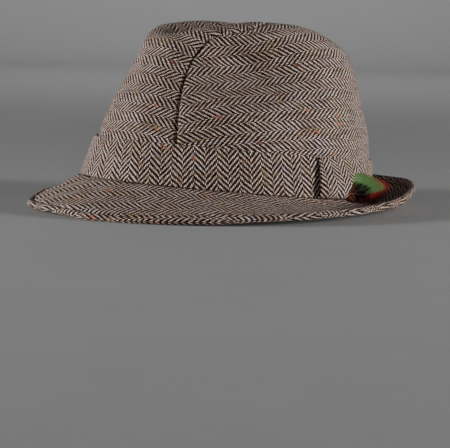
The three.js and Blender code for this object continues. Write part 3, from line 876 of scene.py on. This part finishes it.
def joined(parts):
    """Several lots of points, quads and UVs as one."""
    starts = np.cumsum([0] + [len(points) for points, _, _ in parts[:-1]])
    points = np.concatenate([part[0] for part in parts])
    quads = np.concatenate([part[1] + start for part, start in zip(parts, starts)])
    return points, quads, np.concatenate([part[2] for part in parts])


def face_fibres(outer, inner, random):
    """Fibres rooted all over one outer side of cloth: they rise a little, then lie over."""
    a, b, c, d = (outer[i:len(outer) - 1 + i, j:outer.shape[1] - 1 + j].reshape(-1, 3)
                  for i in (0, 1) for j in (0, 1))
    normal = np.cross(d - a, c - b)
    area = np.linalg.norm(normal, axis=1) / 2
    away = a - inner[:-1, :-1].reshape(-1, 3)
    normal = normal * np.sign((normal * away).sum(-1, keepdims=True))
    count = int(area.sum() * FIBRES * DETAIL)
    pick = random.choice(len(area), count, p=area / area.sum())
    s, t = random.uniform(size=(2, count, 1))
    root = mix(mix(a[pick], b[pick], s), mix(c[pick], d[pick], s), t)[:, None]
    up = unit(normal[pick])[:, None]
    ahead = unit(np.cross(up, random.normal(size=(count, 1, 3))))
    aside = np.cross(up, ahead)
    each = (count, 1, 1)
    length = random.uniform(*FIBRE_LENGTH, size=each) * random.uniform(FIBRE_SHORTEST, 1, size=each)
    lift = random.uniform(*FIBRE_LIFT, size=each)
    curl = random.uniform(-FIBRE_CURL, FIBRE_CURL, size=each)
    along = np.linspace(0, 1, FIBRE_STEPS)[:, None]
    rise = lift * np.sin(0.6 * np.pi * along)
    spine = root + length * (ahead * along + aside * curl * along**2 + up * rise)
    spine[..., 2] = np.maximum(spine[..., 2], FIBRE_WIDTH)
    roll = random.uniform(0, np.pi, size=each)
    half = FIBRE_WIDTH / 2 * (1 - FIBRE_THINNING * along)
    width = half * (aside * np.cos(roll) + up * np.sin(roll))
    tone = random.uniform(size=each) / MM
    uv = np.concatenate(np.broadcast_arrays(tone, along), -1)
    return ribbons(spine, width, uv)


def fibres(name, faces, seed):
    random = np.random.default_rng(seed)
    return make_mesh(name, *joined([face_fibres(outer, inner, random) for outer, inner in faces]))


def quill_frame(shape, along):
    """Places along a feather's quill, and its directions ahead, across the blade and out of its face."""
    length = FEATHER_LENGTH * shape["length"]
    girth = loop_degree()
    start = LOOP_TURN + shape["start"] * LOOP_WIDTH / girth
    turn = start + along * length / girth
    height = BAND_HEIGHT * (shape["height"] - shape["droop"] * along**2)
    off = SEAM_GAP + BAND_CLOTH + QUILL + LOOP_ROOM * (shape["off"] + shape["lift"] * along**2)
    centre = wall_point(turn, height, off)
    outward = unit(wall_point(turn, height, off + 1) - centre)
    ends = wall_point(np.array([start, start + length / girth]), BAND_HEIGHT * shape["height"], 0)
    ahead = unit(ends[1] - ends[0])
    ahead = unit(ahead - outward * (outward @ ahead)[..., None])
    level = np.cross(outward, ahead)
    twist = np.radians(shape["twist"])
    across = level * np.cos(twist) + np.cross(ahead, level) * np.sin(twist)
    return centre, ahead, across, np.cross(across, ahead)


def vane(shape, side, random):
    """The barbs on one side of the quill, each a thin strip that leans towards the tip. Their ends keep
    to the blade's outline, but for the fluff, which stands out every way."""
    length = FEATHER_LENGTH * shape["length"]
    count = int(length / BARB_PITCH * shape["crowd"])
    steps = np.linspace(0, 1, BARB_STEPS)
    tip = mix(shape["bare"], 1.0, (np.arange(count) + 0.5) / count)[:, None]
    blade = (tip - shape["bare"]) / (1 - shape["bare"])
    leaf = np.sin(np.pi * blade**LEAF_SKEW) ** shape["blunt"]
    half = FEATHER_WIDTH * shape["width"] / 2 * leaf * shape["upper" if side > 0 else "lower"]
    group = np.repeat(random.normal(size=count // BARB_GROUP + 1), BARB_GROUP)[:count, None]
    uneven = BARB_UNEVEN * np.abs(random.normal(size=(count, 1)))
    half = half * (1 - uneven + GROUP_UNEVEN * group)
    root = np.maximum(shape["bare"] * 0.9, tip - BARB_LEAN * half / length)
    along = mix(root, tip + GROUP_SPLIT * group * steps, steps**BARB_SWEEP)
    centre, ahead, across, face = quill_frame(shape, along)
    out = half * steps**BARB_RISE
    fluff = shape["fluff"] * random.normal(size=(3, count, 1))
    stray = fluff[0] * steps**1.5
    cup = BARB_CUP * half * steps**2 + BARB_STRAY * random.normal(size=(count, 1)) + fluff[1] * steps**2
    spine = centre + across * (side * (out + stray))[..., None] + face * cup[..., None]
    spine = spine + ahead * (fluff[2] * steps**2)[..., None]
    width = BARB_PITCH * shape["thick"] * (1 - BARB_THINNING * steps**4)
    roll = shape["fluff"] * random.uniform(-np.pi, np.pi, size=(count, 1, 1))
    aside = ahead * np.cos(roll) + face * np.sin(roll)
    uv = np.stack([out, along * length], -1)
    return ribbons(spine, aside * width[None, :, None], uv)


def quill(shape):
    """The quill, a thin tapering tube."""
    along = np.linspace(0, 0.97, 24)
    centre, _, across, face = quill_frame(shape, along)
    angle = np.radians(np.arange(0, 361, 45))[:, None]
    radius = mix(QUILL / 2, QUILL_TIP, np.sqrt(along))[:, None, None]
    ring = across[:, None] * np.cos(angle) + face[:, None] * np.sin(angle)
    points = centre[:, None] + ring * radius
    run = np.broadcast_to(along[:, None] * FEATHER_LENGTH * shape["length"], points.shape[:2])
    uv = np.stack([np.zeros_like(run), run], -1)
    return points.reshape(-1, 3), grid_quads(*points.shape[:2]), uv.reshape(-1, 2)


def feather(node, seed):
    random = np.random.default_rng(seed)
    shape = FEATHERS[node]
    points, quads, uv = joined([quill(shape), vane(shape, 1, random), vane(shape, -1, random)])
    return make_mesh(node + "_barbs", settled(points), quads, uv)


class Nodes:
    """Short calls for building one material's node tree."""

    def __init__(self, name):
        self.material = bpy.data.materials.new(name)
        self.material.use_nodes = True
        self.tree = self.material.node_tree
        self.shader = self.tree.nodes["Principled BSDF"]

    def add(self, kind, inputs=(), **settings):
        node = self.tree.nodes.new(kind)
        for key, value in settings.items():
            setattr(node, key, value)
        for socket, value in dict(inputs).items():
            self.put(node.inputs[socket], value)
        return node

    def put(self, socket, value):
        if isinstance(value, bpy.types.NodeSocket):
            self.tree.links.new(value, socket)
        else:
            socket.default_value = value

    def math(self, operation, *values, clamp=False):
        node = self.add("ShaderNodeMath", enumerate(values), operation=operation, use_clamp=clamp)
        return node.outputs[0]

    def blend(self, share, start, end, mode="MIX"):
        node = self.add("ShaderNodeMix", data_type="RGBA", blend_type=mode)
        self.put(node.inputs["Factor"], share)
        self.put(node.inputs[6], start)
        self.put(node.inputs[7], end)
        return node.outputs[2]

    def ramp(self, value, stops, interpolation="LINEAR"):
        node = self.add("ShaderNodeValToRGB", {"Fac": value})
        node.color_ramp.interpolation = interpolation
        while len(node.color_ramp.elements) < len(stops):
            node.color_ramp.elements.new(0.5)
        for element, (place, colour) in zip(node.color_ramp.elements, stops):
            element.position = place
            element.color = (*colour, 1)
        return node.outputs[0]

    def noise(self, vector, scale, detail=2.0, roughness=0.5):
        inputs = {"Vector": vector, "Scale": scale, "Detail": detail, "Roughness": roughness}
        return self.add("ShaderNodeTexNoise", inputs).outputs["Fac"]

    def random(self, *values):
        vector = self.add("ShaderNodeCombineXYZ", enumerate(values)).outputs[0]
        return self.add("ShaderNodeTexWhiteNoise", {"Vector": vector}).outputs["Value"]

    def cloth(self):
        """The place on the cloth laid flat, in metres."""
        return self.add("ShaderNodeUVMap", uv_map="cloth").outputs[0]

    def split(self, vector):
        return self.add("ShaderNodeSeparateXYZ", {0: vector}).outputs

    def grey(self, value):
        return self.add("ShaderNodeCombineXYZ", {0: value, 1: value, 2: value}).outputs[0]

    def scaled(self, value, factor, clamp=False):
        return self.math("MULTIPLY", value, factor, clamp=clamp)

    def cell(self, value, share):
        """The whole number of the cell that a value lies in, with this share of a cell to one."""
        return self.math("FLOOR", self.scaled(value, share))

    def bump(self, height, strength, distance):
        inputs = {"Height": height, "Strength": strength, "Distance": distance}
        self.put(self.shader.inputs["Normal"], self.add("ShaderNodeBump", inputs).outputs[0])

    def finish(self, **values):
        """Sets the shader's own sockets, each the same all over the surface."""
        for name, value in values.items():
            self.shader.inputs[name.replace("_", " ")].default_value = value
        return self.material

    def mixed(self, share, start, end):
        return self.add("ShaderNodeMix", {0: share, 2: start, 3: end}, data_type="FLOAT").outputs[0]

    def hump(self, share):
        """A rounded rise and fall while the share goes from 0 to 1."""
        return self.math("POWER", self.math("SINE", self.math("MULTIPLY", share, np.pi)), 0.8)

    def swayed(self, vector, scale, reach):
        """The vector, moved about by soft noise within the reach."""
        noise = self.add("ShaderNodeTexNoise", {"Vector": vector, "Scale": scale, "Detail": 1.0})
        middle = self.add("ShaderNodeVectorMath", {0: noise.outputs["Color"], 1: (0.5, 0.5, 0.5)},
                          operation="SUBTRACT")
        move = self.add("ShaderNodeVectorMath", {0: middle.outputs[0], "Scale": reach}, operation="SCALE")
        return self.add("ShaderNodeVectorMath", {0: vector, 1: move.outputs[0]}, operation="ADD").outputs[0]


def woven(n, uv):
    """The yarns at each place: which warp and weft cross there, which of them shows, and how high they
    stand. The warp runs along the rows, over and under the weft, two by two."""
    place = n.swayed(n.swayed(uv, *YARN_SWAY), *YARN_TREMBLE)
    split = n.split(place)
    along = n.scaled(split[0], 1 / (WEFT_YARN * MM))
    across = n.scaled(split[1], 1 / (WARP_YARN * MM))
    weft = n.math("FLOOR", along)
    warp = n.math("FLOOR", across)
    row = n.math("FLOOR", n.math("DIVIDE", warp, float(ROW_YARNS)))
    parity = n.math("FLOORED_MODULO", row, 2.0)
    step = n.math("FLOORED_MODULO", warp, float(ROW_YARNS))
    back = n.math("SUBTRACT", ROW_YARNS - 1.0 + TWILL / 2, step)
    shift = n.math("ADD", step, n.math("MULTIPLY", parity, n.math("SUBTRACT", back, step)))
    phase = n.math("FLOORED_MODULO", n.math("ADD", weft, shift), float(TWILL))
    pale = n.math("LESS_THAN", phase, TWILL / 2 - 0.5)
    within_weft = n.math("SUBTRACT", along, weft)
    within_warp = n.math("SUBTRACT", across, warp)
    over = n.scaled(n.math("ADD", phase, within_weft), 2 / TWILL, clamp=True)
    bow = n.math("ADD", 1 - FLOAT_BOW, n.scaled(n.hump(over), FLOAT_BOW))
    warp_height = n.math("MULTIPLY", n.hump(within_warp), bow)
    weft_height = n.scaled(n.hump(within_weft), WEFT_LOW)
    cover = n.scaled(n.math("SUBTRACT", warp_height, 0.38), 4.0, clamp=True)
    return {
        "place": place, "along": along, "across": across, "weft": weft, "warp": warp,
        "pale": n.math("MULTIPLY", pale, cover), "height": n.mixed(pale, weft_height, warp_height),
    }


def yarn_colour(n, uv, yarns):
    """Mottled pale warp over dark weft, each yarn in a tone of its own for a stretch."""
    warp_tone = n.random(yarns["warp"], n.cell(yarns["along"], TONE_SHARE), 3.0)
    weft_tone = n.random(yarns["weft"], n.cell(yarns["across"], TONE_SHARE), 7.0)
    cloud = n.noise(uv, 90.0, 3.0, 0.6)
    slub = n.noise(yarns["place"], 420.0, 1.0)
    pale_tone = n.mixed(0.55, n.mixed(0.5, cloud, slub), warp_tone)
    tint = n.ramp(n.noise(uv, 55.0, 4.0, 0.7), PALE_TINT)
    pale_colour = n.blend(1.0, n.ramp(pale_tone, PALE_YARN), tint, "MULTIPLY")
    return n.blend(yarns["pale"], n.ramp(weft_tone, DARK_YARN), pale_colour)


def flecked(n, yarns, base):
    """Flecks of dyed wool spun into the yarns: many muted ones, and a few bright ones."""
    run = n.math("ADD", yarns["along"], n.scaled(yarns["warp"], FLECK_SLANT))
    place = n.cell(run, FLECK_RUN), n.cell(yarns["warp"], 1 / FLECK_YARNS)
    chance = n.random(*place, 11.0)
    choice = n.random(*place, 17.0)
    for fleck in FLECKS:
        colour = n.ramp(choice, fleck["colours"], "CONSTANT")
        shown = n.scaled(n.math("GREATER_THAN", chance, fleck["none"]), fleck["show"])
        base = n.blend(shown, base, colour)
    return base


def tweed():
    n = Nodes("tweed")
    uv = n.cloth()
    yarns = woven(n, uv)
    base = flecked(n, yarns, yarn_colour(n, uv, yarns))
    fibre = n.noise(yarns["place"], 5200.0, 3.0, 0.65)
    knot = n.random(yarns["weft"], yarns["warp"], 23.0)
    # Painted shade: the colour darkens where the yarns lie low, in the gaps between them, and a random wool
    # tone varies it
    depth = n.math("ADD", 0.4, n.scaled(yarns["height"], 0.65))
    wool = n.math("ADD", 0.5, n.math("ADD", n.scaled(fibre, 0.6), n.scaled(knot, 0.4)))
    painted_shade_and_tone = n.grey(n.math("MULTIPLY", depth, wool))
    n.put(n.shader.inputs["Base Color"], n.blend(1.0, base, painted_shade_and_tone, "MULTIPLY"))
    relief = n.math("ADD", yarns["height"], n.scaled(fibre, 0.5))
    n.bump(relief, 0.7, 0.0003)
    n.put(n.shader.inputs["Roughness"], n.math("ADD", 0.82, n.scaled(fibre, 0.16)))
    return n.finish(Specular_IOR_Level=0.08, Sheen_Weight=0.05, Sheen_Roughness=0.5,
                    Sheen_Tint=(0.95, 0.84, 0.78, 1))


def fibre_material():
    """Loose wool fibres, each of one yarn's colour: U is a number drawn for each fibre."""
    n = Nodes("loose_fibres")
    n.put(n.shader.inputs["Base Color"], n.ramp(n.split(n.cloth())[0], FIBRE_COLOURS))
    return n.finish(Roughness=0.8, Specular_IOR_Level=0.2)


def thread_material():
    """Dark sewing thread, twisted, its plies crossing it at a slant, with painted shade between them."""
    n = Nodes("sewing_thread")
    split = n.split(n.cloth())
    slant = n.scaled(n.math("ADD", split[0], split[1]), 1 / (THREAD_HALF * MM))
    ply = n.hump(n.math("FRACT", slant))
    n.put(n.shader.inputs["Base Color"], n.ramp(ply, THREAD_COLOURS_GROOVE_SHADED))
    n.bump(ply, 0.6, 0.0001)
    return n.finish(Roughness=0.7)


def feather_material(name, near, far, edge, reach):
    """A vane: near and far along the quill, and the edge, in their own colours. U is how far out along
    the barb, and V how far along the quill, as shares of reach."""
    n = Nodes(name)
    uv = n.cloth()
    split = n.split(uv)
    along = n.scaled(split[1], 1 / (reach * MM), clamp=True)
    out = n.scaled(split[0], 2 / (FEATHER_WIDTH * MM), clamp=True)
    patch = n.noise(uv, 320.0, 3.0, 0.6)
    drift = n.math("ADD", along, n.scaled(n.math("SUBTRACT", patch, 0.5), 0.3))
    farther = n.ramp(drift, ((0.32, (0, 0, 0)), (0.55, (1, 1, 1))))
    outer = n.ramp(out, ((0.5, (0, 0, 0)), (1.0, (0.85, 0.85, 0.85))))
    colour = n.blend(outer, n.blend(farther, (*near, 1), (*far, 1)), (*edge, 1))
    barb = n.random(n.cell(split[1], 1 / (BARB_PITCH * MM)), 5.0)
    level = n.math("ADD", 0.7, n.math("ADD", n.scaled(barb, 0.3), n.scaled(patch, 0.3)))
    n.put(n.shader.inputs["Base Color"], n.blend(1.0, colour, n.grey(level), "MULTIPLY"))
    n.put(n.shader.inputs["Roughness"], n.math("ADD", 0.42, n.scaled(patch, 0.25)))
    return n.finish(Specular_IOR_Level=0.15, Sheen_Weight=0.06, Sheen_Roughness=0.4)


def stage_material(name, colour):
    n = Nodes(name)
    place = n.add("ShaderNodeNewGeometry").outputs["Position"]
    grain = n.noise(place, 14.0, 3.0)
    pale = tuple(min(1, c * 1.03) for c in colour)
    n.put(n.shader.inputs["Base Color"], n.ramp(grain, ((0.3, colour), (0.7, pale))))
    return n.finish(Roughness=0.9, Specular_IOR_Level=0.1)


def dress(piece, material, node=None):
    piece.data.materials.append(material)
    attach(piece, "root")
    if node:
        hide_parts(node)


TWEED = tweed()
CLOTH = {
    "crown_front": crown_front(),
    "crown_left": crown_side(1, "left_cloth"),
    "crown_right": crown_side(-1, "right_cloth"),
    "hat_band": hat_band(),
    "band_loop": band_loop(),
    "brim_top": brim_ply(1, "brim_top_cloth"),
    "brim_under": brim_ply(-1, "brim_under_cloth"),
}
for cloth_node, cloth_piece in CLOTH.items():
    dress(cloth_piece, TWEED, cloth_node)

THREAD = thread_material()
dress(rim_thread(1, "upper_rim_thread"), THREAD)
dress(rim_thread(-1, "under_rim_thread"), THREAD)

FIBRE = fibre_material()
dress(fibres("crown_fibres", FACES[:3], 61), FIBRE)
dress(fibres("band_fibres", FACES[3:5], 62), FIBRE)
dress(fibres("brim_fibres", FACES[5:], 63), FIBRE)

for seed, (feather_node, colours) in enumerate(FEATHER_COLOURS.items(), 71):
    reach = FEATHER_LENGTH * FEATHERS[feather_node]["length"]
    barbs = feather_material(feather_node, *colours, reach)
    dress(feather(feather_node, seed), barbs, feather_node)

# Camera, found from the photograph: how the hat is seen, about its own frame
VIEW_AZIMUTH = 55
VIEW_ELEVATION = 3.6
VIEW_ROLL = np.degrees(np.arcsin(0.0924))
VIEW_DISTANCE = 1300
FOCAL_PIXELS = 1955
FRAME_WIDTH, FRAME_HEIGHT = 450, 448
HEAD_PIXEL = (228, 185.5)
SENSOR = 36

# The floor, which curves up into a wall behind the hat and another behind the camera, each further off
# than a camera that goes round the hat
FLOOR_REACH = 2700
FLOOR_HALF_WIDTH = 5000
WALL_RADIUS = 500
WALL_HEIGHT = 3000
FLOOR_COLOUR = (0.43, 0.43, 0.43)

# Lights: where each stands and what it is turned to, as metres to the right, towards the camera and up,
# then its size and its power
LIGHTS = {
    "left_soft": ((-1.5, 0.36, 0.24), (0, 0, 0.06), 0.5, 30),
    "right_soft": ((1.5, 0.36, 0.24), (0, 0, 0.06), 0.5, 29),
    "front_fill": ((0, 2.2, 0.3), (0, 0, 0.06), 0.6, 6),
    "wall_soft": ((0, -1.7, 1.7), (0, -3.2, 0.25), 1.0, 15),
}
SURROUND_COLOUR = (0.95, 0.96, 1.0, 1)
SURROUND_STRENGTH = 0.035


def view_axes():
    """The camera's right, down and back directions, about the head opening."""
    azimuth, elevation, roll = np.radians((VIEW_AZIMUTH, VIEW_ELEVATION, VIEW_ROLL))
    back = np.array([
        np.sin(azimuth) * np.cos(elevation),
        -np.cos(azimuth) * np.cos(elevation),
        np.sin(elevation),
    ])
    level = np.array([np.cos(azimuth), np.sin(azimuth), 0])
    up = np.cross(back, level)
    right = np.cos(roll) * level + np.sin(roll) * up
    down = np.sin(roll) * level - np.cos(roll) * up
    return right, down, back


def add_camera():
    right, down, back = view_axes()
    off_x = (HEAD_PIXEL[0] - FRAME_WIDTH / 2) / FOCAL_PIXELS
    off_y = (HEAD_PIXEL[1] - FRAME_HEIGHT / 2) / FOCAL_PIXELS
    place = -unit(off_x * right + off_y * down - back) * VIEW_DISTANCE
    data = bpy.data.cameras.new("camera")
    data.sensor_width = SENSOR
    data.lens = FOCAL_PIXELS * SENSOR / FRAME_WIDTH
    data.clip_start = 0.05
    camera = bpy.data.objects.new("camera", data)
    axes = np.stack([SETTLE @ right, SETTLE @ -down, SETTLE @ back], -1)
    matrix = np.eye(4)
    matrix[:3, :3] = axes
    matrix[:3, 3] = settled(place) * MM
    camera.matrix_world = Matrix(matrix.tolist())
    bpy.context.scene.collection.objects.link(camera)
    bpy.context.scene.camera = camera
    return camera


def add_stage():
    """A pale floor that curves up into a wall at both ends of the view."""
    camera = bpy.context.scene.camera
    back = np.array(camera.matrix_world.to_3x3().col[2])
    ahead = unit(-back * (1, 1, 0))
    aside = np.array([-ahead[1], ahead[0], 0])
    sweep = np.radians(np.linspace(0, 90, 25))
    curve = [(FLOOR_REACH + WALL_RADIUS * np.sin(s), WALL_RADIUS * (1 - np.cos(s))) for s in sweep]
    far_side = [*curve, (FLOOR_REACH + WALL_RADIUS, WALL_HEIGHT)]
    near_side = [(-run, up) for run, up in reversed(far_side)]
    profile = near_side + far_side
    sides = (FLOOR_HALF_WIDTH, -FLOOR_HALF_WIDTH)
    rows = [[ahead * run + aside * side + (0, 0, up) for side in sides] for run, up in profile]
    floor = make_mesh("floor", np.array(rows).reshape(-1, 3), grid_quads(len(rows), 2))
    floor.data.materials.append(stage_material("floor_paper", FLOOR_COLOUR))


def add_light(name, place, target, size, power):
    data = bpy.data.lights.new(name, "AREA")
    data.shape = "DISK"
    data.size = size
    data.energy = power
    light = bpy.data.objects.new(name, data)
    light.location = place
    light.rotation_euler = (Vector(target) - Vector(place)).to_track_quat("-Z", "Y").to_euler()
    bpy.context.scene.collection.objects.link(light)


def add_lights():
    """Soft light on the hat from both sides, low down, a little from the front, and some on the wall."""
    axes = np.array(bpy.context.scene.camera.matrix_world.to_3x3())
    right = unit(axes[:, 0] * (1, 1, 0))
    back = unit(axes[:, 2] * (1, 1, 0))
    about_view = np.stack([right, back, (0, 0, 1)])
    for name, (place, aim, size, power) in LIGHTS.items():
        add_light(name, np.array(place) @ about_view, np.array(aim) @ about_view, size, power)
    world = bpy.data.worlds.new("surround")
    world.use_nodes = True
    world.node_tree.nodes["Background"].inputs[0].default_value = SURROUND_COLOUR
    world.node_tree.nodes["Background"].inputs[1].default_value = SURROUND_STRENGTH
    bpy.context.scene.world = world


add_camera()
add_stage()
add_lights()
